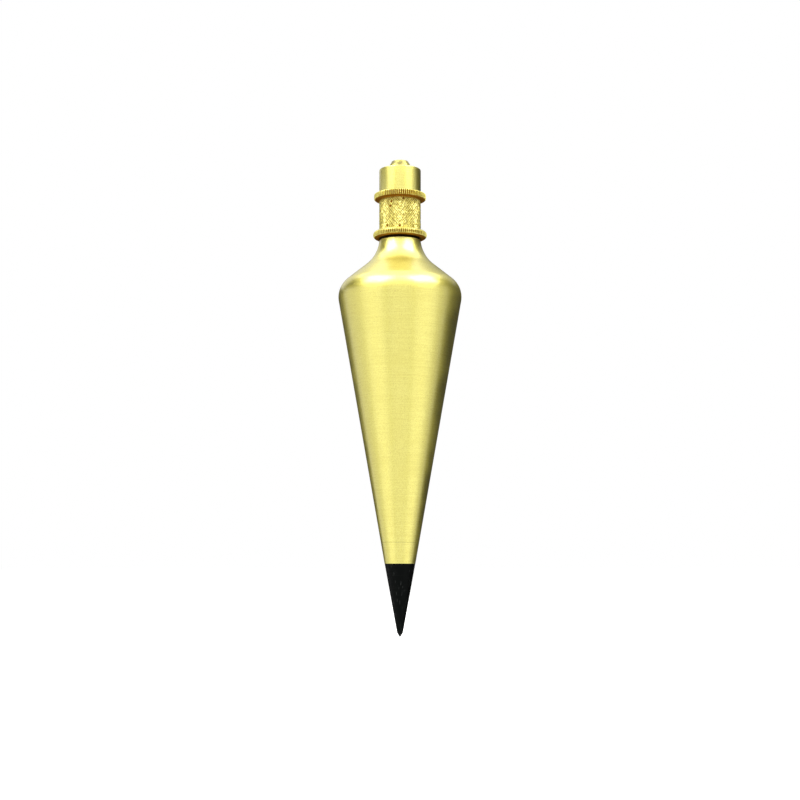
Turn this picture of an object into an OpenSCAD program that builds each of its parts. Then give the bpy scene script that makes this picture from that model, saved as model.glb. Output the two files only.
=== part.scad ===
// Brass plumb bob with a screw cap, a swivelling cord bush and a screw-in steel point.
// Millimetres, +Z up along the cord. The origin is the tip of the point.

/* [Overall] */
// Height from the tip to the top of the cord bush
overall_h = 147; // [143:0.5:151]
// Height of the cap above the body, without the bush's nose
cap_h = 22.6; // [21.6:0.1:24]
// Height of the steel point below the brass
point_h = 22; // [18:0.5:26]
// Height of the brass collar over the point
collar_h = 6.4; // [4:0.2:8]

/* [Body outline] */
// Diameter of the neck where the cove would turn upright
neck_d = 12.7; // [12.5:0.05:13]
// Height of that place above the body's top face
cove_lift = 1.24; // [0.8:0.02:1.6]
// Radius of the hollow cove under the neck
cove_r = 11.54; // [10:0.02:13]
// Angle that the flank flares to, from upright
flare_a = 51.1; // [46:0.1:56]
// Straight length of the flank between cove and shoulder
flank_l = 7.48; // [6:0.02:9]
// Radius of the rounded shoulder
shoulder_r = 6.97; // [5:0.01:8]
// Radius gained for each millimetre of height on the long taper
taper = 0.1766; // [0.170:0.001:0.180]

/* [Steel point] */
// Radius gained for each millimetre of height on the point
point_taper = 0.1816; // [0.175:0.001:0.190]
// Half angle of the ground tip
tip_half_a = 30; // [20:1:40]
// Radius of the blunt end of the tip
tip_flat_r = 0.12; // [0.05:0.01:0.3]
// Major diameter of the point's stud
stud_d = 6; // [5:0.1:6.4]
// Length of the stud that is screwed into the body
stud_grip = 9.5; // [7:0.5:12]

/* [Screw cap] */
// Diameter of the plain top
top_d = 12.98; // [12.6:0.02:13.3]
// Diameter of the knurled barrel
barrel_d = 13.06; // [12.7:0.02:13.4]
// Diameter of the upper ring
upper_ring_d = 16.22; // [15:0.02:18]
// Height of the upper ring's underside above the body
upper_ring_z = 12.92; // [12:0.02:14]
// Thickness of the upper ring
upper_ring_t = 1.76; // [1.4:0.02:2.2]
// Diameter of the lower ring
lower_ring_d = 16.74; // [16:0.02:18]
// Height of the lower ring's underside above the body
lower_ring_z = 0.66; // [0.6:0.02:1.2]
// Thickness of the lower ring, which is a full bead
lower_ring_t = 2.14; // [2.12:0.02:2.4]
// Major diameter of the cap's thread
thread_d = 10; // [9.6:0.1:10.4]
// Length of the threaded stem below the cap
stem_l = 8; // [6:0.5:10]
// Diameter of the hollow for the cord's knot
knot_d = 6.9; // [6.6:0.1:7.2]
// Depth of the bore in the neck
neck_bore_depth = 12; // [10.5:0.5:14]

/* [Cord bush] */
// Diameter of the cord hole
cord_d = 2.4; // [2:0.1:3]
// Diameter of the nose where it sits on the cap
nose_base_d = 8.14; // [7:0.02:10]
// Diameter of the nose at its top
nose_top_d = 5.24; // [4.5:0.02:6]
// Height of the nose
nose_h = 2.6; // [2:0.05:3.5]
// Diameter of the shank that turns in the cap
shank_d = 5.6; // [5.2:0.1:5.8]
// Thickness of the cap's wall around the shank
web_t = 3; // [2:0.1:4]
// Thickness of the snap ring
snap_t = 0.6; // [0.4:0.05:0.8]
// Depth of the shank's groove for the snap ring
groove_depth = 0.45; // [0.3:0.05:0.6]
// Opening of the snap ring, in degrees
snap_gap_a = 70; // [40:5:100]

/* [Hidden] */
$fn = 144;

// gaps between pieces
thread_clear = 0.05;
swivel_clear = 0.05;
snap_clear = 0.05;
snap_lip = 0.45;
end_play = 0.1;
collar_clear = 0.2;

// small edges
edge = 0.15;
lead_in = 0.5;
ring_round = 0.42;
bead_round = 1.05;
ring_fillet = 0.15;
land_fillet = 0.15;
land_inset = 0.5;
top_round = 0.4;
nose_round = 0.3;
shank_end = 0.7;
undercut_depth = 0.65;
undercut_h = 1.2;
mouth_depth = 0.1;
mouth_flare = 0.7;
point_inset = 0.03;
hole_spare = 1;
cut_spare = 1;
drill_half_a = 59;
arc_steps = 10;

// heights
body_bottom = point_h + collar_h;
cap_top = overall_h - nose_h - swivel_clear;
body_top = cap_top - cap_h;
stem_bottom = body_top - stem_l;
web_bottom = cap_top - web_t;
neck_bore_bottom = body_top - neck_bore_depth;
nose_bottom = cap_top + swivel_clear;
snap_top = web_bottom - end_play;
groove_top = snap_top + snap_clear;
groove_bottom = snap_top - snap_t - snap_clear;
shank_bottom = groove_bottom - shank_end;
stud_top = body_bottom + stud_grip;
stud_hole_top = stud_top + hole_spare;

// radii
thread_r = thread_d / 2;
stud_r = stud_d / 2;
cord_r = cord_d / 2;
knot_r = knot_d / 2;
shank_r = shank_d / 2;
groove_r = shank_r - groove_depth;
snap_outer_r = shank_r + snap_lip;

// points along an arc about c, from angle a0 to a1
function arc_points(c, r, a0, a1) =
    [for (i = [0:arc_steps]) let (a = a0 + (a1 - a0) * i / arc_steps) c + r * [cos(a), sin(a)]];

// body outline: cove, straight flank, rounded shoulder and long taper, each tangent to the next
taper_a = atan(taper);
cove_centre = [neck_d / 2 + cove_r, body_top + cove_lift];
cove_start_a = 180 + asin(cove_lift / cove_r);
flare_dir = [sin(flare_a), -cos(flare_a)];
flare_normal = [cos(flare_a), sin(flare_a)];
flank_top = cove_centre - cove_r * flare_normal;
flank_end = flank_top + flank_l * flare_dir;
shoulder_centre = flank_end - shoulder_r * flare_normal;
shoulder_end = shoulder_centre + shoulder_r * [cos(taper_a), -sin(taper_a)];
neck_top_r = cove_centre[0] - sqrt(cove_r * cove_r - cove_lift * cove_lift);
edge_a = 1;

// radius of the long taper at height z
function taper_r(z) = shoulder_end[0] - taper * (shoulder_end[1] - z);

// steel point: taper and ground tip
point_top_r = taper_r(point_h) - point_inset;
point_base_r = point_top_r - point_taper * point_h;
tip_h = (point_base_r - tip_flat_r) / (tan(tip_half_a) - point_taper);
tip_r = point_base_r + point_taper * tip_h;

module turned(points) {
    rotate_extrude() polygon(points);
}

// blind hole with a drilled end: wall from z0 to z1, going up or down
module drilled_hole(r, z0, z1) {
    cone_h = r / tan(drill_half_a) * sign(z1 - z0);
    turned([[0, z0], [r, z0], [r, z1], [0, z1 + cone_h]]);
}

module bob_body() {
    outline = concat(
        [
            [0, body_bottom],
            [taper_r(body_bottom) - edge, body_bottom],
            [taper_r(body_bottom + edge), body_bottom + edge]
        ],
        arc_points(shoulder_centre, shoulder_r, -taper_a, flare_a),
        arc_points(cove_centre, cove_r, 180 + flare_a, cove_start_a + edge_a),
        [
            [neck_top_r, body_top - edge],
            [neck_top_r - edge, body_top],
            [0, body_top]
        ]
    );
    bore_r = thread_r + thread_clear;
    color("#e6d27a") difference() {
        turned(outline);
        drilled_hole(bore_r, body_top + cut_spare, neck_bore_bottom);
        translate([0, 0, body_top - lead_in])
            cylinder(h = 2 * lead_in, r1 = bore_r - mouth_depth, r2 = bore_r + mouth_flare);
        drilled_hole(stud_r + thread_clear, body_bottom - cut_spare, stud_hole_top);
    }
}

// outline of a ring on the cap with rounded rim corners and a fillet below
function ring_points(z, r, t, round_r, fillet, foot_r) = concat(
    arc_points([foot_r + fillet, z - fillet], fillet, 180, 90),
    arc_points([r - round_r, z + round_r], round_r, -90, 0),
    arc_points([r - round_r, z + t - round_r], round_r, 0, 90)
);

module screw_cap() {
    land_r = neck_top_r - land_inset;
    lower_z = body_top + lower_ring_z;
    upper_z = body_top + upper_ring_z;
    top_r = top_d / 2;
    barrel_r = barrel_d / 2;
    outline = concat(
        [
            [knot_r, stem_bottom],
            [thread_r - lead_in, stem_bottom],
            [thread_r, stem_bottom + lead_in],
            [thread_r, body_top - undercut_h],
            [thread_r - undercut_depth, body_top - undercut_h],
            [thread_r - undercut_depth, body_top],
            [land_r - edge, body_top],
            [land_r, body_top + edge]
        ],
        ring_points(lower_z, lower_ring_d / 2, lower_ring_t, bead_round, land_fillet, land_r),
        [[barrel_r, lower_z + lower_ring_t]],
        ring_points(upper_z, upper_ring_d / 2, upper_ring_t, ring_round, ring_fillet, barrel_r),
        [[top_r, upper_z + upper_ring_t]],
        arc_points([top_r - top_round, cap_top - top_round], top_round, 0, 90),
        [
            [shank_r + swivel_clear, cap_top],
            [shank_r + swivel_clear, web_bottom],
            [knot_r, web_bottom]
        ]
    );
    color("#e3cb62") turned(outline);
}

module cord_bush() {
    base_r = nose_base_d / 2;
    top_r = nose_top_d / 2;
    outline = [
        [cord_r, shank_bottom + nose_round],
        [cord_r + nose_round, shank_bottom],
        [shank_r - nose_round, shank_bottom],
        [shank_r, shank_bottom + nose_round],
        [shank_r, groove_bottom],
        [groove_r, groove_bottom],
        [groove_r, groove_top],
        [shank_r, groove_top],
        [shank_r, nose_bottom],
        [base_r, nose_bottom],
        [top_r + nose_round * (base_r - top_r) / nose_h, overall_h - nose_round],
        [top_r - nose_round, overall_h],
        [cord_r + nose_round, overall_h],
        [cord_r, overall_h - nose_round]
    ];
    color("#efe9c8") turned(outline);
}

module snap_ring() {
    half_gap = snap_gap_a / 2;
    reach = 2 * snap_outer_r;
    color("silver") translate([0, 0, snap_top - snap_t]) difference() {
        cylinder(h = snap_t, r = snap_outer_r);
        translate([0, 0, -cut_spare])
            cylinder(h = snap_t + 2 * cut_spare, r = groove_r + snap_clear);
        translate([0, 0, -cut_spare]) linear_extrude(snap_t + 2 * cut_spare)
            polygon([[0, 0], reach * [sin(-half_gap), cos(half_gap)], reach * [sin(half_gap), cos(half_gap)]]);
    }
}

module point_collar() {
    hole_r = stud_r + collar_clear;
    outline = [
        [hole_r, point_h],
        [taper_r(point_h) - edge, point_h],
        [taper_r(point_h + edge), point_h + edge],
        [taper_r(body_bottom - edge), body_bottom - edge],
        [taper_r(body_bottom) - edge, body_bottom],
        [hole_r, body_bottom]
    ];
    color("#e6d27a") turned(outline);
}

module steel_point() {
    outline = [
        [0, 0],
        [tip_flat_r, 0],
        [tip_r, tip_h],
        [point_top_r - point_taper * edge, point_h - edge],
        [point_top_r - edge, point_h],
        [stud_r, point_h],
        [stud_r, stud_top - lead_in],
        [stud_r - lead_in, stud_top],
        [0, stud_top]
    ];
    color("#1c1e1d") turned(outline);
}

bob_body();
screw_cap();
cord_bush();
snap_ring();
point_collar();
steel_point();
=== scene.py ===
import math
import random

import bmesh
import bpy
from bpy.props import FloatProperty, FloatVectorProperty, IntProperty, PointerProperty
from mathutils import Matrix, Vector


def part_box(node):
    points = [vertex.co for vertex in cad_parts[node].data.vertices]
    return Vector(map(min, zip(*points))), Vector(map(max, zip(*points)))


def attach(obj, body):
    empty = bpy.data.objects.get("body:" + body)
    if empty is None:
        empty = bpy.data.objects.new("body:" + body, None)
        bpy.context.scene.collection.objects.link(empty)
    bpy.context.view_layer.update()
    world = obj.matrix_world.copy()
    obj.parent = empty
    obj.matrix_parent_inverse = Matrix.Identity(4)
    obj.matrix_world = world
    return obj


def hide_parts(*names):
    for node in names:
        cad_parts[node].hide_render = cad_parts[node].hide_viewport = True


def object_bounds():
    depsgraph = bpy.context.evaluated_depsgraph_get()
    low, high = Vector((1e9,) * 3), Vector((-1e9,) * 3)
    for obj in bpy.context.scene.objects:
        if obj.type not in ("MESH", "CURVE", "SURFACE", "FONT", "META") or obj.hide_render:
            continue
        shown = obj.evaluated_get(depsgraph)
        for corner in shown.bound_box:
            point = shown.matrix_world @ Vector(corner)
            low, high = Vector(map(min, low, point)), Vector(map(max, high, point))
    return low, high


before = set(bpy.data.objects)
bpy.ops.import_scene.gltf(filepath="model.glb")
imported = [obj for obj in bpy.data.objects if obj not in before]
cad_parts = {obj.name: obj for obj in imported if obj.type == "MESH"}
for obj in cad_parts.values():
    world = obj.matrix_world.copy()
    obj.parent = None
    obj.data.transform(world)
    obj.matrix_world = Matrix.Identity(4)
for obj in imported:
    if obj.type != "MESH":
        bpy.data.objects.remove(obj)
CAD_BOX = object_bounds()

bl_info = {
    "name": "Plumb bob",
    "version": (1, 0, 0),
    "blender": (4, 5, 0),
    "location": "View3D > Sidebar > Plumb bob",
    "description": "Turns a brass plumb bob with a knurled cap, a cord bush and a steel point",
    "category": "Add Mesh",
}

MM = 0.001
FULL_TURN = 2 * math.pi
BODY_LOW, BODY_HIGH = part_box("bob_body")
CAP_LOW, CAP_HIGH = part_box("screw_cap")
BUSH_LOW, BUSH_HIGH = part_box("cord_bush")
COLLAR_LOW, COLLAR_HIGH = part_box("point_collar")
POINT_LOW, POINT_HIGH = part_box("steel_point")
RING_LOW, RING_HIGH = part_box("snap_ring")

# Turning.
LONG_ARC = 40  # segments in the body's cove and shoulder
BEAD_ARC = 12  # segments in each half of the lower ring's bead
LIP_ARC = 8  # segments in the cord hole's lip and the cap's top edge
SMALL_ARC = 6  # segments in fillets and small rounds
FOOT_ARC = 5  # segments in the foot of the bush's nose
WELD = 1e-7  # points closer than this are joined
SPECK = 1e-8  # edges shorter than this are dropped
HAIR = 1e-9  # cuts shallower than this are left out
SHARP = 32  # degrees from which an edge stays crisp
CAP_SHARP = 28  # the same on the cap
TIP_ROUNDING = ((0.6, 0.12), (1, 0.5))  # radius and height on the blunt end, as shares of its flat
TIP_STEPS = 5

# Threads.
SUNK = 1.5  # how deep a ridge is sunk into its core, in clearances
STUD_ROOM = 1 * MM  # from the stud's end to the floor of its hole
BORE_RUN_OUT = 2 * MM  # unthreaded length at the bottom of the neck's bore
STUD_RELIEF = 1.2 * MM  # smooth length under the stud's thread
STUD_RUN_OUT = 1.5 * MM  # height above the shoulder where the stud's thread starts

# Grips.
REED_FACETS = 4  # facets across one reed and the cut beside it
REED_PROFILE = (0.0, 0.1, 1.0, 0.85)  # height of each facet of a reed, as a share of its depth
REED_WEAR = 0.3  # most that a crest is worn down, as a share of the depth
KNURL_RUN_OUT = 0.1 * MM  # plain length at both ends of the barrel
LOWER_MID = 0.42  # where the lower ring's reeds start to get shallower, as a share of its height
LOWER_DRAFT = 0.2  # how much shallower, as a share of the height above that
WEAR_SEED = 11  # picks which reeds and diamonds are worn
CRUSHED = 0.975  # diamonds with more wear than this are crushed
CRUSHED_HEIGHT = 0.1  # what is left of one
BLACKENED = 0.98  # diamonds with more wear than this also get black oil and painted shade

# Dirt and painted shade on the cap. Up to 0.6 it is a dull tarnish, from 0.95 it is caked grime
# and past 1.1 it turns black. The lower ring's film and the cuts are dirt that is partly painted
# shade, the rings' undersides are painted shade, the gap under the lower ring is a painted
# shadow, and the blackened pits are black oil with painted shade.
FILM_AND_SHADE = 0.2
CUT_DIRT_AND_SHADE = 0.7
SHADE_UNDER_RINGS = 0.97
PIT_OIL_AND_SHADE = 1.7
SHADOW_IN_GAP = 2.0
CAKED_AND_SHADED = (0.6, 0.95)
OIL_AND_SHADOW = (1.1, 2.0)

# Noise patterns: scale, stretch along X, Y and Z, detail and roughness.
TURNING_LINES = (1, (90, 90, 5200), 3, 0.62)
TURNING_BANDS = (1, (25, 25, 900), 2, 0.5)
SANDY_GRAIN = (3400, (1, 1, 1), 2, 0.75)
BRASS_CLOUD = (95, (1, 1, 1), 3, 0.6)
PIT_FLECKS = (1900, (1, 1, 1.6), 1, 0.4)
SOIL = (1300, (1, 1, 1), 1, 0.6)
RUBBED_RINGS = (1, (120, 120, 4000), 2, 0.5)
BUSH_CLOUD = (420, (1, 1, 1), 3, 0.6)
DRAWN_LINES = (1, (2500, 2500, 9000), 2, 0.6)
SPRING_CLOUD = (900, (1, 1, 1), 2, 0.6)
STEEL_RINGS = (1, (140, 140, 6500), 3, 0.65)
STEEL_CLOUD = (300, (1, 1, 1), 3, 0.6)
STEEL_GRAIN = (6000, (1, 1, 1), 2, 0.6)
LONG_SCRATCHES = (1, (2600, 2600, 150), 1, 0.4)
FLOOR_CLOUD = (3, (1, 1, 1), 2, 0.5)

# Ramps: where a pattern starts and stops to count, and its strength at both ends.
MARKS = (0.40, 0.60)
BRASS_TONE = (0.3, 0.72, 0.0, 0.35)
PITS = (0.185, 0.24, 0.75, 0.0)
BRASS_ROUGH = (0, 1, 0.42, 0.31)
CLOUD_ROUGH = (0.3, 0.7, -0.03, 0.05)
SOIL_STRENGTH = (0.37, 0.6, 0.4, 1.45)
BUSH_TONE = (0.3, 0.7, 0.0, 0.6)
BUSH_ROUGH = (0.1, 0.4, 0.3, 0.46)
SPRING_TONE = (0.3, 0.7, 0.0, 0.5)
SPRING_ROUGH = (0.3, 0.7, 0.22, 0.4)
SCRATCHES = (0.66, 0.71, 0.0, 0.8)
TURNED_RINGS = (0.6, 0.72, 0.0, 0.35)
RUBBED_TIP = (0.0012, 0.0032, 0.55, 0.0)
WEAR_PATCHES = (0.35, 0.62, 0.15, 1.0)
STEEL_ROUGH = (0.3, 0.7, 0.36, 0.5)

# Shares and strengths in the finishes.
LINES_SHARE, GRAIN_SHARE = 0.35, 0.65
SOILED_ROUGH = 0.18
LACQUER_ROUGH = 0.22
GRAIN_ROUGH = 0.08
TIP_FEATHER = 0.002  # how far the rubbed tip's edge wanders

# Heights of the bumps in metres.
LINE_BUMP = 0.000022
GRAIN_BUMP = 0.000025
PIT_BUMP = 0.00004
PIT_STRENGTH = 0.6
FINE_BUMP = 0.00001
RING_BUMP = 0.00002

# Stage.
NEAREST = 0.01  # the camera sees nothing closer than this
FLOOR_CELLS = 8
FLOOR_PALE, FLOOR_PALER = (0.82, 0.82, 0.81), (0.86, 0.86, 0.85)
FLOOR_ROUGH = 0.9
WHITE = (1, 1, 1, 1)
ROOM = (1, 0.98, 0.95, 1)  # the dim light between the panels
ROOM_LIGHT = 0.03


def length(name, description, default):
    """A length that is shown in the scene's units and stored in metres."""
    return FloatProperty(
        name=name, description=description, default=default, min=0, precision=5, unit="LENGTH"
    )


def angle(name, description, default):
    """An angle that is shown in degrees and stored in radians."""
    return FloatProperty(
        name=name, description=description, default=math.radians(default), subtype="ANGLE"
    )


def share(name, description, default):
    """A share from 0 to 1."""
    return FloatProperty(
        name=name, description=description, default=default, min=0, max=1, subtype="FACTOR"
    )


def colour(name, description, default):
    """A linear RGB colour."""
    return FloatVectorProperty(
        name=name, description=description, default=default, size=3, min=0, max=1, subtype="COLOR"
    )


class BodySizes(bpy.types.PropertyGroup):
    """Sizes of the brass body, which the collar continues."""

    taper: FloatProperty(
        name="Taper", description="Radius gained per unit of height", default=0.1766, min=0
    )
    cove_radius: length("Cove radius", "Radius of the hollow under the neck", 11.54 * MM)
    neck_diameter: length("Neck", "Diameter where the cove would turn upright", 12.7 * MM)
    cove_lift: length("Cove lift", "Height of that place above the top face", 1.24 * MM)
    flare: angle("Flare", "Angle of the flank from upright", 51.1)
    flank: length("Flank", "Straight length between cove and shoulder", 7.48 * MM)
    shoulder_radius: length("Shoulder radius", "Radius of the round shoulder", 6.925 * MM)
    edge: length("Edge break", "Chamfer on the turned edges", 0.1 * MM)
    seam: length("Seam", "Height of the bevel on each side of the collar's joint line", 0.035 * MM)
    seam_depth: length("Seam depth", "Depth of the collar's fine joint line", 0.11 * MM)
    mouth_depth: length("Mouth depth", "Depth of the threaded bore in the neck", 12 * MM)
    mouth_flare: length("Mouth flare", "Width of the countersink round the mouth", 0.5 * MM)
    bore_floor: angle("Drill angle", "Half angle of the drill's cone", 59)
    steps: IntProperty(name="Steps", description="Facets round the body", default=192, min=24)


class CapSizes(bpy.types.PropertyGroup):
    """Sizes of the knurled screw cap."""

    top_diameter: length("Top", "Diameter of the plain top", 12.98 * MM)
    top_round: length("Top round", "Radius on the cap's top edge", 0.4 * MM)
    barrel_diameter: length("Barrel", "Diameter over the knurling", 13.06 * MM)
    upper_diameter: length("Upper ring", "Diameter of the upper ring", 16.22 * MM)
    upper_height: length("Upper ring height", "Underside above the body's top", 12.92 * MM)
    upper_thickness: length("Upper ring thickness", "Thickness of the upper ring", 1.76 * MM)
    upper_round: length("Upper ring round", "Radius on the upper ring's rims", 0.42 * MM)
    upper_fillet: length("Upper ring fillet", "Fillet under the upper ring", 0.15 * MM)
    lower_diameter: length("Lower ring", "Diameter of the lower ring", 16.74 * MM)
    lower_height: length("Lower ring height", "Underside above the body's top", 0.66 * MM)
    lower_thickness: length("Lower ring thickness", "Thickness of the lower ring", 2.14 * MM)
    lower_round: length("Lower ring round", "Radius of the lower ring's bead", 1.05 * MM)
    lower_fillet: length("Lower ring fillet", "Fillet under the lower ring", 0.15 * MM)
    land_diameter: length("Land", "Diameter of the land on the body", 11.83 * MM)
    knot_diameter: length("Knot bore", "Diameter of the hollow for the knot", 6.9 * MM)
    web: length("Web", "Thickness of the wall round the bush", 3 * MM)
    shank_bore: length("Shank bore", "Diameter of the hole for the bush", 5.7 * MM)
    undercut: length("Undercut", "Height of the relief above the thread", 1.2 * MM)
    stem_length: length("Stem", "Length of the threaded stem", 8 * MM)
    edge: length("Edge break", "Chamfer on the turned edges", 0.12 * MM)
    reeds: IntProperty(name="Reeds", description="Reeds round each ring", default=78, min=8)
    diamonds: IntProperty(name="Diamonds", description="Diamonds round the barrel", default=52, min=8)
    reed_depth: length("Reed depth", "Depth of the cuts between reeds", 0.4 * MM)
    knurl_depth: length("Knurl depth", "Depth of the diamond knurling", 0.2 * MM)
    knurl_height: length("Diamond height", "Height of one diamond", 0.92 * MM)
    wear: share("Wear", "How unevenly the crests are worn", 0.6)


class BushSizes(bpy.types.PropertyGroup):
    """Sizes of the swivelling cord bush."""

    hole: length("Cord hole", "Diameter of the cord hole", 2.4 * MM)
    nose_base: length("Nose base", "Diameter of the nose on the cap", 8.14 * MM)
    nose_top: length("Nose top", "Diameter at the nose's top", 5.24 * MM)
    nose_height: length("Nose height", "Height of the nose", 2.6 * MM)
    shank: length("Shank", "Diameter of the shank in the cap", 5.6 * MM)
    groove: length("Groove", "Diameter in the snap ring's groove", 4.7 * MM)
    groove_play: length("Groove play", "Room above and below the snap ring", 0.05 * MM)
    lip: length("Lip", "Radius on the cord hole's lips", 0.45 * MM)
    nose_round: length("Nose round", "Radius on the nose's edges", 0.25 * MM)
    steps: IntProperty(name="Steps", description="Facets round the bush", default=144, min=24)


class PointSizes(bpy.types.PropertyGroup):
    """Sizes of the steel point and its stud."""

    taper: FloatProperty(
        name="Taper", description="Radius gained per unit of height", default=0.1816, min=0
    )
    inset: length("Inset", "How far the steel stays below the brass", 0.03 * MM)
    height: length("Height", "Height of the steel below the brass", 22 * MM)
    tip_angle: angle("Tip angle", "Half angle of the ground tip", 30)
    tip_flat: length("Tip flat", "Radius of the blunt end", 0.12 * MM)
    tip_blend: length("Tip blend", "Width of the worn edge above the ground tip", 0.3 * MM)
    collar_hole: length("Collar hole", "Diameter of the hole through the collar", 6.4 * MM)
    edge: length("Edge break", "Chamfer on the shoulder", 0.08 * MM)
    steps: IntProperty(name="Steps", description="Facets round the point", default=144, min=24)


class ThreadSizes(bpy.types.PropertyGroup):
    """Sizes of the two screw threads."""

    pitch: length("Pitch", "Rise of both threads in a turn", 1 * MM)
    cap_major: length("Cap thread", "Major diameter of the cap's thread", 10 * MM)
    stud_major: length("Stud thread", "Major diameter of the stud's thread", 6 * MM)
    depth: length("Depth", "Depth of a thread", 0.55 * MM)
    crest: length("Crest", "Width of a thread's crest", 0.13 * MM)
    root: length("Root", "Width of a thread at its root", 0.86 * MM)
    clearance: length("Clearance", "Gap between crests and roots", 0.05 * MM)
    lead: length("Lead", "Chamfer at a thread's end", 0.5 * MM)
    steps: IntProperty(name="Steps", description="Facets in a turn of thread", default=48, min=12)


class Finishes(bpy.types.PropertyGroup):
    """Colours of the brass and steel."""

    brass: colour("Brass", "Satin turned brass", (0.97, 0.89, 0.22))
    brass_shade: colour("Brass shade", "The brass between its turning marks", (0.81, 0.715, 0.13))
    # This grime also serves as painted shade in the cuts and under the rings.
    grime_and_shade: colour("Grime", "Dirt in the cuts of the grips", (0.40, 0.175, 0.010))
    # The tarnish is also mixed in as painted shade with the cuts' dirt and under the rings.
    tarnish: colour("Tarnish", "Dull olive brass in the knurling", (0.34, 0.26, 0.045))
    # Painted shadow: this black fills the gap under the lower ring, and with oil the blackened knurl
    # pits.
    shadow: colour("Gap", "Black oil in the gap under the lower ring", (0.020, 0.010, 0.003))
    bush: colour("Bush", "Pale polished bush", (0.29, 0.25, 0.09))
    spring: colour("Spring", "Bright spring steel", (0.62, 0.62, 0.60))
    steel: colour("Black steel", "Oxide on the steel point", (0.0062, 0.0070, 0.0066))
    scratch: colour("Scratches", "Grey steel in the scratches", (0.060, 0.063, 0.061))
    lacquer: share("Lacquer", "How thick the clear lacquer on the brass is", 1.0)
    lacquer_gloss: FloatProperty(
        name="Lacquer gloss", description="How strongly the lacquer mirrors", default=1.8, min=1
    )


class StageSizes(bpy.types.PropertyGroup):
    """Camera, floor and lights."""

    distance: length("Camera distance", "From the bob's axis to the camera", 446.1 * MM)
    height: length("Camera height", "Camera above the tip", 21.3 * MM)
    pitch: angle("Camera pitch", "How far the camera looks up", 6.48)
    lens: FloatProperty(name="Lens", description="Focal length", default=65.77, unit="CAMERA")
    floor_drop: length("Floor drop", "Floor below the tip, clear of the lowered point", 11 * MM)
    floor_size: length("Floor size", "Side of the floor", 40.0)
    light_distance: length("Light distance", "From the bob to each soft panel", 0.95)


GROUPS = {
    "bob_body_sizes": BodySizes,
    "bob_cap_sizes": CapSizes,
    "bob_bush_sizes": BushSizes,
    "bob_point_sizes": PointSizes,
    "bob_thread_sizes": ThreadSizes,
    "bob_finishes": Finishes,
    "bob_stage_sizes": StageSizes,
}


# Each soft panel: degrees round from the camera and above the level, its width and height in
# degrees as the bob sees it, and how bright it is.
PANELS = (
    ("Left panel", -53, -5, 48, 84, 1.12),
    ("Left wing", -103, -11, 50, 64, 0.72),
    ("Front panel", 0, -5, 50, 84, 0.93),
    ("Right panel", 52.5, -5, 48, 84, 1.12),
    ("Right wing", 89, -12, 22, 70, 0.62),
    ("Upper left panel", -56, 50, 40, 30, 4.8),
    ("Upper middle panel", 0, 50, 70, 24, 1.5),
    ("Upper right panel", 58, 50, 40, 30, 4.8),
    ("Top panel", 0, 91, 80, 62, 1.4),
    ("Rear left panel", -150, 38, 36, 40, 0.65),
    ("Rear right panel", 150, 40, 30, 30, 0.35),
    ("Lower panel", 0, -74, 90, 40, 0.7),
    ("Lower rear panel", 180, -60, 90, 40, 0.6),
)


# ---------------------------------------------------------------- turning


def arc(centre, radius, start, end, count):
    """Outline points along an arc, from one angle to another."""
    turns = [start + (end - start) * i / count for i in range(count + 1)]
    return [(centre[0] + radius * math.cos(a), centre[1] + radius * math.sin(a)) for a in turns]


def body_outline(sizes):
    """Outside of the brass from shoulder to neck, and a function for the long taper's radius."""
    flare, lean = sizes.flare, math.atan(sizes.taper)
    top = BODY_HIGH.z
    cove = (sizes.neck_diameter / 2 + sizes.cove_radius, top + sizes.cove_lift)
    out = (math.cos(flare), math.sin(flare))
    down = (math.sin(flare), -math.cos(flare))
    flank_end = [cove[i] - sizes.cove_radius * out[i] + sizes.flank * down[i] for i in (0, 1)]
    shoulder = [flank_end[i] - sizes.shoulder_radius * out[i] for i in (0, 1)]
    neck = cove[0] - math.sqrt(sizes.cove_radius**2 - sizes.cove_lift**2)
    neck_angle = math.pi + math.asin((sizes.cove_lift + sizes.edge) / sizes.cove_radius)
    start = shoulder[0] + sizes.shoulder_radius * math.cos(lean)
    level = shoulder[1] - sizes.shoulder_radius * math.sin(lean)

    def taper_radius(z):
        return start - sizes.taper * (level - z)

    points = arc(shoulder, sizes.shoulder_radius, -lean, flare, LONG_ARC)
    points += arc(cove, sizes.cove_radius, math.pi + flare, neck_angle, LONG_ARC)
    points += [(neck - sizes.edge, top)]
    return points, taper_radius


def revolve(bm, outline, steps, closed=False):
    """Spins an outline of radii and heights once round the Z axis."""
    verts = [bm.verts.new((r, 0, z)) for r, z in outline]
    edges = [bm.edges.new(pair) for pair in zip(verts, verts[1:])]
    if closed:
        edges.append(bm.edges.new((verts[-1], verts[0])))
    bmesh.ops.spin(
        bm, geom=verts + edges, cent=(0, 0, 0), axis=(0, 0, 1), angle=FULL_TURN,
        steps=steps, use_merge=True, use_duplicate=False,
    )


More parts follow.
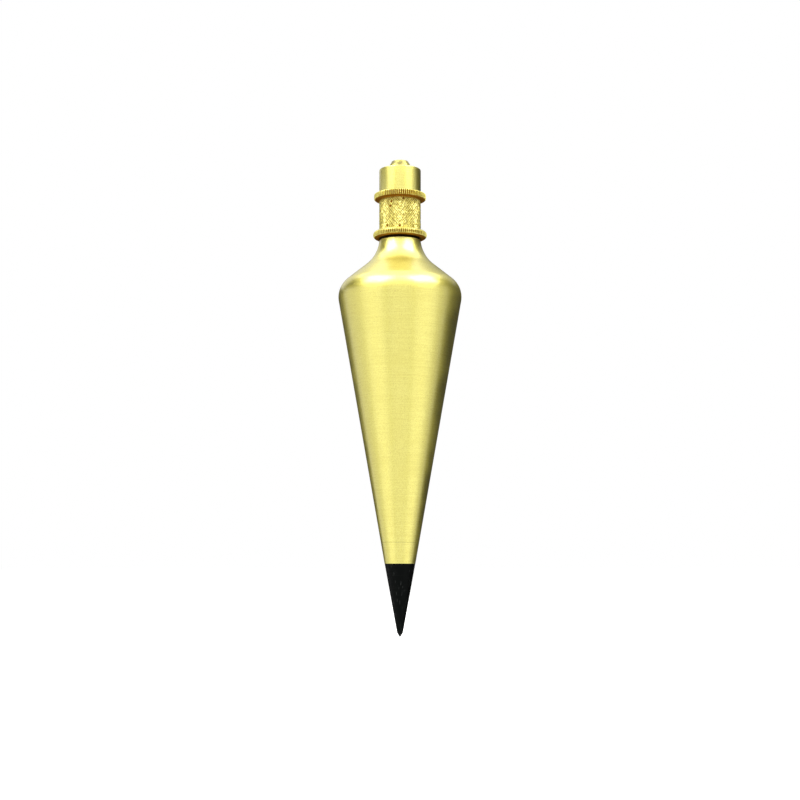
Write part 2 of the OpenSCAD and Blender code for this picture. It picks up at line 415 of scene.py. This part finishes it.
def wind_thread(bm, threads, major, low, high, inside):
    """Winds one closed helical ridge on a stud, or in a bore, where it lies half a pitch along."""
    half_root, half_crest = threads.root / 2, threads.crest / 2
    bury = threads.clearance * SUNK
    floor = major / 2 - threads.depth
    if inside:
        root, crest = major / 2 + threads.clearance + bury, floor + threads.clearance
    else:
        root, crest = floor - bury, major / 2
    offset = threads.pitch / 2 if inside else 0
    first = math.ceil((low + half_root - offset) / threads.pitch) * threads.pitch + offset
    steps = int((high - half_root - first) / threads.pitch * threads.steps)
    corners = [(root, -half_root), (crest, -half_crest), (crest, half_crest), (root, half_root)]
    ridge = bmesh.new()
    face = ridge.faces.new([ridge.verts.new((r, 0, first + h)) for r, h in corners])
    bmesh.ops.spin(
        ridge, geom=[face] + face.edges[:] + face.verts[:], cent=(0, 0, 0), axis=(0, 0, 1),
        dvec=(0, 0, threads.pitch / threads.steps), angle=FULL_TURN * steps / threads.steps,
        steps=steps, use_merge=False, use_duplicate=False,
    )
    for vert in ridge.verts:
        radius = math.hypot(vert.co.x, vert.co.y)
        near = max(0, min(1, min(vert.co.z - low, high - vert.co.z) / threads.lead))
        if inside:
            wanted = max(radius, major / 2 + threads.clearance - threads.depth * near)
        else:
            wanted = min(radius, floor + threads.depth * near)
        vert.co.x *= wanted / radius
        vert.co.y *= wanted / radius
    spare = bpy.data.meshes.new("ridge")
    ridge.to_mesh(spare)
    ridge.free()
    bm.from_mesh(spare)
    bpy.data.meshes.remove(spare)


def finish_piece(bm, name, body, node, material, sharp=SHARP):
    """Closes the mesh, points it outwards, hangs the piece on its body's empty and hides the CAD
    part.
    """
    bmesh.ops.remove_doubles(bm, verts=bm.verts, dist=WELD)
    bmesh.ops.dissolve_degenerate(bm, edges=bm.edges, dist=SPECK)
    bmesh.ops.recalc_face_normals(bm, faces=bm.faces)
    loose = sum(not edge.is_manifold for edge in bm.edges)
    if loose:
        raise RuntimeError(f"{name} has {loose} open edges")
    mesh = bpy.data.meshes.new(name)
    bm.to_mesh(mesh)
    bm.free()
    mesh.shade_smooth()
    mesh.set_sharp_from_angle(angle=math.radians(sharp))
    mesh.materials.append(material)
    piece = bpy.data.objects.new(name, mesh)
    bpy.context.scene.collection.objects.link(piece)
    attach(piece, body)
    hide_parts(node)


# ---------------------------------------------------------------- finishes


class Finish:
    """A node material with short calls for its nodes."""

    def __init__(self, name):
        self.material = bpy.data.materials.new(name)
        self.material.use_nodes = True
        self.nodes = self.material.node_tree.nodes
        self.links = self.material.node_tree.links
        self.shader = self.nodes["Principled BSDF"]
        self.place = self.nodes.new("ShaderNodeTexCoord").outputs["Object"]

    def put(self, kind, inputs=(), **settings):
        """Adds a node, links or sets its inputs, and returns its first output."""
        node = self.nodes.new(kind)
        for key, value in settings.items():
            setattr(node, key, value)
        for key, value in dict(inputs).items():
            if isinstance(value, bpy.types.NodeSocket):
                self.links.new(value, node.inputs[key])
            else:
                node.inputs[key].default_value = value
        return node.outputs[0]

    def noise(self, scale, stretch, detail, roughness):
        """Noise whose grain is about 1 / (scale x stretch) metres along each axis."""
        place = self.put("ShaderNodeMapping", {"Vector": self.place, "Scale": stretch})
        return self.put(
            "ShaderNodeTexNoise",
            {"Vector": place, "Scale": scale, "Detail": detail, "Roughness": roughness},
        )

    def ramp(self, value, low, high, to_low=0.0, to_high=1.0):
        """Maps a value smoothly from one range to another and stops at its ends."""
        ends = {"From Min": low, "From Max": high, "To Min": to_low, "To Max": to_high}
        return self.put(
            "ShaderNodeMapRange", {"Value": value, **ends}, interpolation_type="SMOOTHSTEP"
        )

    def calc(self, operation, first, second):
        """One sum."""
        return self.put("ShaderNodeMath", {0: first, 1: second}, operation=operation)

    def mix(self, factor, first, second):
        """Mixes two colours."""
        node = self.nodes.new("ShaderNodeMix")
        node.data_type = "RGBA"
        for key, value in ((0, factor), (6, first), (7, second)):
            if isinstance(value, bpy.types.NodeSocket):
                self.links.new(value, node.inputs[key])
            elif key:
                node.inputs[key].default_value = (*value, 1)
            else:
                node.inputs[key].default_value = value
        return node.outputs[2]

    def bump(self, height, distance, strength=1.0, below=None):
        """A bump from a height, on top of another one."""
        inputs = {"Height": height, "Distance": distance, "Strength": strength}
        if below is not None:
            inputs["Normal"] = below
        return self.put("ShaderNodeBump", inputs)

    def set(self, **inputs):
        """Sets or links the shader's inputs, by their names with _ for a space."""
        for key, value in inputs.items():
            socket = self.shader.inputs[key.replace("_", " ")]
            if isinstance(value, bpy.types.NodeSocket):
                self.links.new(value, socket)
            else:
                socket.default_value = value


def turned_brass(name, finishes, grips=False):
    """Lacquered satin brass with turning lines, a sandy grain, broad tarnish and small dents.

    On the grips, grime and painted shade darken the cuts, painted shade darkens the rings' undersides
    and the gap, and the lacquer is gone there.
    """
    made = Finish(name)
    lines = made.noise(*TURNING_LINES)
    bands = made.noise(*TURNING_BANDS)
    grain = made.noise(*SANDY_GRAIN)
    cloud = made.noise(*BRASS_CLOUD)
    fleck = made.noise(*PIT_FLECKS)
    marks = made.calc(
        "ADD",
        made.calc("MULTIPLY", lines, LINES_SHARE),
        made.calc("MULTIPLY", grain, GRAIN_SHARE),
    )
    marks = made.ramp(marks, *MARKS)
    base = made.mix(marks, finishes.brass_shade, finishes.brass)
    base = made.mix(made.ramp(cloud, *BRASS_TONE), base, finishes.brass_shade)
    pits = made.ramp(fleck, *PITS)
    base = made.mix(pits, base, finishes.grime_and_shade)
    rough = made.calc("ADD", made.ramp(marks, *BRASS_ROUGH), made.ramp(cloud, *CLOUD_ROUGH))
    lacquer = finishes.lacquer
    if grips:
        # The dirt attribute holds grime and painted shade: in the cuts, under the rings and in the
        # gap.
        dirt_and_shade = made.put("ShaderNodeAttribute", attribute_name="dirt_and_shade").node.outputs["Fac"]
        soil = made.ramp(made.noise(*SOIL), *SOIL_STRENGTH)
        dull_and_shaded = made.calc("MULTIPLY", dirt_and_shade, soil)
        base = made.mix(made.calc("MINIMUM", dull_and_shaded, 1.0), base, finishes.tarnish)
        # Caked grime in the cuts and painted shade under the rings.
        caked_and_shaded = made.ramp(dirt_and_shade, *CAKED_AND_SHADED)
        base = made.mix(caked_and_shaded, base, finishes.grime_and_shade)
        soiled_and_shaded = made.calc("MINIMUM", made.calc("MAXIMUM", dull_and_shaded, caked_and_shaded), 1.0)
        # Black: a painted shadow in the gap, and black oil with painted shade in the blackened pits.
        base = made.mix(made.ramp(dirt_and_shade, *OIL_AND_SHADOW), base, finishes.shadow)
        rough = made.calc("ADD", rough, made.calc("MULTIPLY", soiled_and_shaded, SOILED_ROUGH))
        lacquer = made.calc("MULTIPLY", made.calc("SUBTRACT", 1.0, soiled_and_shaded), lacquer)
    height = made.calc("ADD", made.calc("MULTIPLY", lines, 0.5), made.calc("MULTIPLY", bands, 0.5))
    bump = made.bump(height, LINE_BUMP)
    bump = made.bump(grain, GRAIN_BUMP, below=bump)
    bump = made.bump(pits, PIT_BUMP, PIT_STRENGTH, below=bump)
    made.set(
        Base_Color=base, Metallic=1.0, Roughness=rough, Normal=bump, Coat_Weight=lacquer,
        Coat_Roughness=LACQUER_ROUGH, Coat_IOR=finishes.lacquer_gloss,
    )
    return made.material


def polished_brass(name, finishes):
    """Pale polished brass with a few rubbed rings."""
    made = Finish(name)
    rings = made.noise(*RUBBED_RINGS)
    cloud = made.noise(*BUSH_CLOUD)
    base = made.mix(made.ramp(cloud, *BUSH_TONE), finishes.bush, finishes.brass)
    rough = made.ramp(made.calc("MULTIPLY", rings, cloud), *BUSH_ROUGH)
    made.set(Base_Color=base, Metallic=1.0, Roughness=rough, Normal=made.bump(rings, FINE_BUMP))
    return made.material


def spring_steel(name, finishes):
    """Bright drawn steel with lines along the stamping."""
    made = Finish(name)
    lines = made.noise(*DRAWN_LINES)
    cloud = made.noise(*SPRING_CLOUD)
    base = made.mix(made.ramp(cloud, *SPRING_TONE), finishes.spring, finishes.scratch)
    rough = made.ramp(lines, *SPRING_ROUGH)
    made.set(Base_Color=base, Metallic=1.0, Roughness=rough, Normal=made.bump(lines, FINE_BUMP))
    return made.material


def black_steel(name, finishes):
    """Blackened steel with fine turning rings, long scratches and a rubbed tip."""
    made = Finish(name)
    rings = made.noise(*STEEL_RINGS)
    cloud = made.noise(*STEEL_CLOUD)
    grain = made.noise(*STEEL_GRAIN)
    scratches = made.ramp(made.noise(*LONG_SCRATCHES), *SCRATCHES)
    turned = made.ramp(rings, *TURNED_RINGS)
    place = made.put("ShaderNodeSeparateXYZ", {"Vector": made.place})
    height = made.calc("ADD", place.node.outputs["Z"], made.calc("MULTIPLY", cloud, TIP_FEATHER))
    rubbed = made.ramp(height, *RUBBED_TIP)
    wear = made.calc("MAXIMUM", made.calc("MAXIMUM", scratches, turned), rubbed)
    wear = made.calc("MULTIPLY", wear, made.ramp(cloud, *WEAR_PATCHES))
    base = made.mix(wear, finishes.steel, finishes.scratch)
    rough = made.calc(
        "ADD", made.ramp(cloud, *STEEL_ROUGH), made.calc("MULTIPLY", grain, GRAIN_ROUGH)
    )
    bump = made.bump(rings, RING_BUMP)
    bump = made.bump(made.calc("SUBTRACT", grain, scratches), FINE_BUMP, below=bump)
    made.set(Base_Color=base, Metallic=1.0, Roughness=rough, Normal=bump)
    return made.material


def finish_named(maker, name, *options):
    """The material of that name, made when it is first asked for."""
    made = bpy.data.materials.get(name)
    return made or maker(name, bpy.context.scene.bob_finishes, *options)


# ---------------------------------------------------------------- operators


class TurnBody(bpy.types.Operator):
    """Turns the brass body with its threaded mouth and stud hole"""

    bl_idname = "plumb_bob.turn_body"
    bl_label = "Turn body"

    def execute(self, context):
        sizes = context.scene.bob_body_sizes
        threads = context.scene.bob_thread_sizes
        outside, taper_radius = body_outline(sizes)
        low, top = BODY_LOW.z, BODY_HIGH.z
        hole = threads.stud_major / 2 + threads.clearance
        bore = threads.cap_major / 2 + threads.clearance
        stud_end = POINT_HIGH.z + STUD_ROOM
        bore_end = top - sizes.mouth_depth
        outline = [
            (0, stud_end + hole / math.tan(sizes.bore_floor)),
            (hole, stud_end),
            (hole, low + sizes.mouth_flare / 2),
            (hole + sizes.mouth_flare / 2, low),
            (taper_radius(low) - sizes.seam_depth, low),
            (taper_radius(low + sizes.seam), low + sizes.seam),
            *outside,
            (bore + sizes.mouth_flare, top),
            (bore, top - sizes.mouth_flare),
            (bore, bore_end),
            (0, bore_end - bore / math.tan(sizes.bore_floor)),
        ]
        bm = bmesh.new()
        revolve(bm, outline, sizes.steps)
        bore_thread = (bore_end + BORE_RUN_OUT, top - sizes.mouth_flare)
        wind_thread(bm, threads, threads.cap_major, *bore_thread, True)
        hole_thread = (low + sizes.mouth_flare, stud_end - STUD_ROOM)
        wind_thread(bm, threads, threads.stud_major, *hole_thread, True)
        material = finish_named(turned_brass, "Satin turned brass")
        finish_piece(bm, "body", "bob", "bob_body", material)
        return {"FINISHED"}


def cut_grips(bm, sizes, barrel_low, rows):
    """Cuts reeds into both rings and diamonds into the barrel, and records dirt and painted shade."""
    dirt_and_shade = bm.verts.layers.float.new("dirt_and_shade")
    dice = random.Random(WEAR_SEED)
    facets = sizes.reeds * REED_FACETS
    diamond_facets = facets // sizes.diamonds
    row_height = sizes.knurl_height / diamond_facets
    wear = [[dice.random() for _ in range(2 * sizes.diamonds)] for _ in range(rows + 1)]
    reed_wear = [[dice.random() * sizes.wear for _ in range(sizes.reeds)] for _ in range(2)]
    base = CAP_LOW.z + sizes.stem_length
    lower_low = base + sizes.lower_height
    lower_mid = lower_low + sizes.lower_thickness * LOWER_MID
    upper_low = base + sizes.upper_height
    barrel, land = sizes.barrel_diameter / 2, sizes.land_diameter / 2
    skin = 0.01 * MM

    def reeded(diameter, ring, step):
        """Radius of a ring's facet: its place on the reed, and how worn that reed is."""
        worn = REED_WEAR * reed_wear[ring][step // REED_FACETS]
        return diameter / 2 - sizes.reed_depth * (1 - REED_PROFILE[step % REED_FACETS] + worn)

    for vert in bm.verts:
        radius = math.hypot(vert.co.x, vert.co.y)
        height = vert.co.z
        if radius < land - skin or height < base - skin:
            continue
        step = round(math.atan2(vert.co.y, vert.co.x) / FULL_TURN * facets) % facets
        row = round((height - barrel_low) / row_height)
        limit = radius
        if 0 <= row <= rows and abs(radius - barrel) < skin:
            across, along = step / diamond_facets, row / diamond_facets
            slants = (across + along, across - along)
            high = min(1 - abs(2 * (x % 1) - 1) for x in slants)
            cell = wear[math.floor(slants[0]) % rows][math.floor(slants[1]) % sizes.diamonds]
            high *= CRUSHED_HEIGHT if cell > CRUSHED else 1 - sizes.wear * cell**2
            if row in (0, rows):
                high = 0
            limit = barrel - sizes.knurl_depth * (1 - high)
            # Knurl valleys get dirt that is partly painted shade; blackened pits get black oil with
            # painted shade.
            vert[dirt_and_shade] = (1 - high) * (PIT_OIL_AND_SHADE if cell > BLACKENED else CUT_DIRT_AND_SHADE)
        elif height > upper_low - skin - sizes.upper_fillet:
            limit = reeded(sizes.upper_diameter, 0, step)
            if height < upper_low + sizes.upper_round / 4:
                # Painted shade under the upper ring.
                vert[dirt_and_shade] = SHADE_UNDER_RINGS
        elif height < lower_low + sizes.lower_thickness:
            limit = reeded(sizes.lower_diameter, 1, step)
            limit += max(0, height - lower_mid) * LOWER_DRAFT
            # A thin tarnish film over the lower ring, partly painted shade.
            vert[dirt_and_shade] = FILM_AND_SHADE
            if height < lower_low + sizes.lower_round / 4:
                # Painted shade under the lower ring, and a painted black shadow on the land in the
                # gap.
                vert[dirt_and_shade] = SHADE_UNDER_RINGS if radius > land + sizes.lower_fillet else SHADOW_IN_GAP
        if radius > limit + HAIR:
            vert.co.x *= limit / radius
            vert.co.y *= limit / radius
            if radius > barrel + skin:
                # The cuts between reeds get dirt by their depth, partly painted shade.
                vert[dirt_and_shade] = max(vert[dirt_and_shade], min(1, (radius - limit) / sizes.reed_depth))


def split_along_valleys(bm, low, high, inner):
    """Splits the barrel's quads along their deeper diagonal, so that the diamonds stay sharp."""

    def radius(vert):
        return math.hypot(vert.co.x, vert.co.y)

    for face in bm.faces[:]:
        verts = face.verts[:]
        if len(verts) != 4 or not all(low < v.co.z < high and radius(v) > inner for v in verts):
            continue
        first = radius(verts[0]) + radius(verts[2])
        second = radius(verts[1]) + radius(verts[3])
        pair = (verts[0], verts[2]) if first < second else (verts[1], verts[3])
        if abs(first - second) > SPECK:
            bmesh.utils.face_split(face, *pair)


class TurnCap(bpy.types.Operator):
    """Turns the screw cap, then knurls its barrel and reeds its two rings"""

    bl_idname = "plumb_bob.turn_cap"
    bl_label = "Turn cap"

    def execute(self, context):
        sizes = context.scene.bob_cap_sizes
        threads = context.scene.bob_thread_sizes
        low, top = CAP_LOW.z, CAP_HIGH.z
        base = low + sizes.stem_length
        core = threads.cap_major / 2 - threads.depth
        knot, shank = sizes.knot_diameter / 2, sizes.shank_bore / 2
        land, barrel = sizes.land_diameter / 2, sizes.barrel_diameter / 2
        web = top - sizes.web
        edge = sizes.edge

        def ring(height, diameter, thickness, rounding, fillet, foot, count):
            """Outline of a ring with rounded rims, from the fillet at its foot to its top."""
            z, r = base + height, diameter / 2
            points = arc((foot + fillet, z - fillet), fillet, math.pi, math.pi / 2, SMALL_ARC)
            points += arc((r - rounding, z + rounding), rounding, -math.pi / 2, 0, count)
            points += arc((r - rounding, z + thickness - rounding), rounding, 0, math.pi / 2, count)
            return points

        lower_top = base + sizes.lower_height + sizes.lower_thickness
        upper_low = base + sizes.upper_height
        barrel_low = lower_top + KNURL_RUN_OUT
        diamond_facets = sizes.reeds * REED_FACETS // sizes.diamonds
        row_height = sizes.knurl_height / diamond_facets
        rows = int((upper_low - sizes.upper_fillet - KNURL_RUN_OUT - barrel_low) / row_height)
        barrel_rows = [(barrel, barrel_low + row_height * i) for i in range(rows + 1)]
        floor = barrel - sizes.knurl_depth
        top_radius = sizes.top_diameter / 2
        outline = [
            (knot, low + edge),
            (knot + edge, low),
            (core - threads.lead / 2, low),
            (core, low + threads.lead / 2),
            (core, base - sizes.undercut),
            (core - edge, base - sizes.undercut + edge),
            (core - edge, base),
            (land - edge, base),
            (land, base + edge),
            *ring(sizes.lower_height, sizes.lower_diameter, sizes.lower_thickness,
                  sizes.lower_round, sizes.lower_fillet, land, BEAD_ARC),
            (floor, lower_top),
            *barrel_rows,
            *ring(sizes.upper_height, sizes.upper_diameter, sizes.upper_thickness,
                  sizes.upper_round, sizes.upper_fillet, floor, SMALL_ARC),
            (top_radius, upper_low + sizes.upper_thickness),
            *arc((top_radius - sizes.top_round, top - sizes.top_round), sizes.top_round,
                 0, math.pi / 2, LIP_ARC),
            (shank + edge, top),
            (shank, top - edge),
            (shank, web),
            (knot, web),
        ]
        bm = bmesh.new()
        revolve(bm, outline, sizes.reeds * REED_FACETS, closed=True)
        bmesh.ops.remove_doubles(bm, verts=bm.verts, dist=WELD)
        cut_grips(bm, sizes, barrel_low, rows)
        split_along_valleys(bm, lower_top, upper_low - sizes.upper_fillet, floor - edge)
        wind_thread(bm, threads, threads.cap_major, low, base - sizes.undercut, False)
        material = finish_named(turned_brass, "Knurled brass", True)
        finish_piece(bm, "cap", "cap", "screw_cap", material, CAP_SHARP)
        return {"FINISHED"}


class TurnBush(bpy.types.Operator):
    """Turns the cord bush with its nose, round lips and snap ring groove"""

    bl_idname = "plumb_bob.turn_bush"
    bl_label = "Turn bush"

    def execute(self, context):
        sizes = context.scene.bob_bush_sizes
        low, top = BUSH_LOW.z, BUSH_HIGH.z
        hole, shank, groove = sizes.hole / 2, sizes.shank / 2, sizes.groove / 2
        seat = top - sizes.nose_height
        base, crown = sizes.nose_base / 2, sizes.nose_top / 2
        lip, soft = sizes.lip, sizes.nose_round
        groove_low = RING_LOW.z - sizes.groove_play
        groove_high = RING_HIGH.z + sizes.groove_play
        lean = math.atan((base - crown) / sizes.nose_height)
        outline = [
            *arc((hole + soft, low + soft), soft, math.pi, 1.5 * math.pi, SMALL_ARC),
            *arc((shank - soft, low + soft), soft, 1.5 * math.pi, FULL_TURN, SMALL_ARC),
            (shank, groove_low),
            (groove, groove_low),
            (groove, groove_high),
            (shank, groove_high),
            (shank, seat),
            (base - soft / 2, seat),
            *arc((base - soft, seat + soft / 2), soft / 2, -math.pi / 2, lean, FOOT_ARC),
            *arc((crown - soft, top - soft), soft, lean, math.pi / 2, SMALL_ARC),
            *arc((hole + lip, top - lip), lip, math.pi / 2, math.pi, LIP_ARC),
        ]
        bm = bmesh.new()
        revolve(bm, outline, sizes.steps, closed=True)
        material = finish_named(polished_brass, "Polished pale brass")
        finish_piece(bm, "bush", "bush", "cord_bush", material)
        return {"FINISHED"}


class FinishSnapRing(bpy.types.Operator):
    """Gives the snap ring its bright spring steel"""

    bl_idname = "plumb_bob.finish_snap_ring"
    bl_label = "Finish snap ring"

    def execute(self, context):
        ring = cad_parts["snap_ring"]
        ring.data.materials.clear()
        ring.data.materials.append(finish_named(spring_steel, "Spring steel"))
        return {"FINISHED"}


class TurnCollar(bpy.types.Operator):
    """Turns the collar that carries the body's taper on down to the point"""

    bl_idname = "plumb_bob.turn_collar"
    bl_label = "Turn collar"

    def execute(self, context):
        sizes = context.scene.bob_body_sizes
        hole = context.scene.bob_point_sizes.collar_hole / 2
        low, top = COLLAR_LOW.z, COLLAR_HIGH.z
        seam, edge = sizes.seam, sizes.edge
        taper_radius = body_outline(sizes)[1]
        outline = [
            (hole, low + edge),
            (hole + edge, low),
            (taper_radius(low) - seam, low),
            (taper_radius(low + seam), low + seam),
            (taper_radius(top - seam), top - seam),
            (taper_radius(top) - sizes.seam_depth, top),
            (hole + edge, top),
            (hole, top - edge),
        ]
        bm = bmesh.new()
        revolve(bm, outline, sizes.steps, closed=True)
        material = finish_named(turned_brass, "Satin turned brass")
        finish_piece(bm, "collar", "collar", "point_collar", material)
        return {"FINISHED"}


class TurnPoint(bpy.types.Operator):
    """Turns the steel point with its ground tip and threaded stud"""

    bl_idname = "plumb_bob.turn_point"
    bl_label = "Turn point"

    def execute(self, context):
        sizes = context.scene.bob_point_sizes
        threads = context.scene.bob_thread_sizes
        taper_radius = body_outline(context.scene.bob_body_sizes)[1]
        low, top, shoulder = POINT_LOW.z, POINT_HIGH.z, COLLAR_LOW.z
        wide = taper_radius(shoulder) - sizes.inset
        foot = wide - sizes.taper * sizes.height
        tip = (foot - sizes.tip_flat) / (math.tan(sizes.tip_angle) - sizes.taper)
        tip_radius = foot + sizes.taper * tip
        core = threads.stud_major / 2 - threads.depth
        blend, edge, lead = sizes.tip_blend, sizes.edge, threads.lead

        def corner(t):
            """A point at a share of the length of the edge between ground tip and taper."""
            below = (tip_radius - blend * math.tan(sizes.tip_angle), low + tip - blend)
            above = (tip_radius + blend * sizes.taper, low + tip + blend)
            middle = (tip_radius, low + tip)
            return tuple(
                (1 - t) ** 2 * below[i] + 2 * t * (1 - t) * middle[i] + t * t * above[i]
                for i in (0, 1)
            )

        outline = [
            (0, low),
            *[(sizes.tip_flat * out, low + sizes.tip_flat * up) for out, up in TIP_ROUNDING],
            *[corner(i / TIP_STEPS) for i in range(TIP_STEPS + 1)],
            (wide - sizes.taper * edge, shoulder - edge),
            (wide - edge, shoulder),
            (core - edge, shoulder),
            (core - edge, shoulder + STUD_RELIEF),
            (core, shoulder + STUD_RELIEF + edge),
            (core, top - lead / 2),
            (core - lead / 2, top),
            (0, top),
        ]
        bm = bmesh.new()
        revolve(bm, outline, sizes.steps)
        wind_thread(bm, threads, threads.stud_major, shoulder + STUD_RUN_OUT, top, False)
        material = finish_named(black_steel, "Blackened steel")
        finish_piece(bm, "point", "point", "steel_point", material)
        return {"FINISHED"}


class SetStage(bpy.types.Operator):
    """Sets up the camera, the pale floor and the soft lights"""

    bl_idname = "plumb_bob.set_stage"
    bl_label = "Set stage"

    def execute(self, context):
        scene = context.scene
        sizes = scene.bob_stage_sizes
        lens = bpy.data.cameras.new("Camera")
        lens.lens = sizes.lens
        lens.clip_start = NEAREST
        camera = bpy.data.objects.new("Camera", lens)
        camera.location = (0, -sizes.distance, sizes.height)
        camera.rotation_euler = (math.pi / 2 + sizes.pitch, 0, 0)
        scene.collection.objects.link(camera)
        scene.camera = camera
        context.view_layer.update()

        bm = bmesh.new()
        bmesh.ops.create_grid(
            bm, x_segments=FLOOR_CELLS, y_segments=FLOOR_CELLS, size=sizes.floor_size / 2
        )
        bmesh.ops.translate(bm, verts=bm.verts, vec=(0, 0, -sizes.floor_drop))
        mesh = bpy.data.meshes.new("floor")
        bm.to_mesh(mesh)
        bm.free()
        made = Finish("Pale floor")
        pale = made.mix(made.noise(*FLOOR_CLOUD), FLOOR_PALE, FLOOR_PALER)
        made.set(
            Base_Color=pale, Roughness=FLOOR_ROUGH, Emission_Color=WHITE, Emission_Strength=1.0
        )
        mesh.materials.append(made.material)
        floor = bpy.data.objects.new("floor", mesh)
        floor.visible_glossy = False
        floor.visible_shadow = False
        scene.collection.objects.link(floor)

        for name, around, above, wide, tall, radiance in PANELS:
            self.hang_light(camera, name, around, above, wide, tall, radiance)

        world = bpy.data.worlds.new("Studio")
        world.use_nodes = True
        nodes, links = world.node_tree.nodes, world.node_tree.links
        paths = nodes.new("ShaderNodeLightPath")
        white = nodes.new("ShaderNodeBackground")
        white.inputs["Strength"].default_value = 1.0
        white.inputs["Color"].default_value = WHITE
        dim = nodes["Background"]
        dim.inputs["Color"].default_value = ROOM
        dim.inputs["Strength"].default_value = ROOM_LIGHT
        mixed = nodes.new("ShaderNodeMixShader")
        links.new(paths.outputs["Is Camera Ray"], mixed.inputs[0])
        links.new(dim.outputs[0], mixed.inputs[1])
        links.new(white.outputs[0], mixed.inputs[2])
        links.new(mixed.outputs[0], nodes["World Output"].inputs["Surface"])
        scene.world = world
        scene.view_settings.view_transform = "Standard"
        return {"FINISHED"}

    def hang_light(self, camera, name, around, above, wide, tall, radiance):
        """Hangs a soft panel, with its place and size in degrees, on the camera's stand."""
        distance = bpy.context.scene.bob_stage_sizes.light_distance
        width, height = (2 * distance * math.tan(math.radians(a) / 2) for a in (wide, tall))
        lamp = bpy.data.lights.new(name, "AREA")
        lamp.shape = "RECTANGLE"
        lamp.size = width
        lamp.size_y = height
        lamp.energy = radiance * math.pi * width * height
        panel = bpy.data.objects.new(name, lamp)
        turn, lift = math.radians(around), math.radians(above)
        middle = (CAD_BOX[0] + CAD_BOX[1]) / 2
        away = (math.sin(turn) * math.cos(lift), -math.cos(turn) * math.cos(lift), math.sin(lift))
        panel.location = middle + distance * Vector(away)
        panel.rotation_mode = "QUATERNION"
        panel.rotation_quaternion = (middle - panel.location).to_track_quat("-Z", "Y")
        bpy.context.scene.collection.objects.link(panel)
        panel.parent = camera
        panel.matrix_parent_inverse = camera.matrix_world.inverted()


class BobPanel(bpy.types.Panel):
    """Lists the bob's sizes and the steps that make it"""

    bl_idname = "VIEW3D_PT_plumb_bob"
    bl_label = "Plumb bob"
    bl_space_type = "VIEW_3D"
    bl_region_type = "UI"
    bl_category = "Plumb bob"

    def draw(self, context):
        for step in STEPS:
            self.layout.operator(step.bl_idname)
        for name, group in GROUPS.items():
            box = self.layout.box()
            box.label(text=group.__doc__)
            for field in group.__annotations__:
                box.prop(getattr(context.scene, name), field)


STEPS = (SetStage, TurnBody, TurnCap, TurnBush, FinishSnapRing, TurnCollar, TurnPoint)


def register():
    for cls in (*GROUPS.values(), *STEPS, BobPanel):
        bpy.utils.register_class(cls)
    for name, group in GROUPS.items():
        setattr(bpy.types.Scene, name, PointerProperty(type=group))


def unregister():
    for name in GROUPS:
        delattr(bpy.types.Scene, name)
    for cls in reversed((*GROUPS.values(), *STEPS, BobPanel)):
        bpy.utils.unregister_class(cls)


def main():
    register()
    for step in STEPS:
        group, name = step.bl_idname.split(".")
        getattr(getattr(bpy.ops, group), name)()


if __name__ == "__main__":
    main()
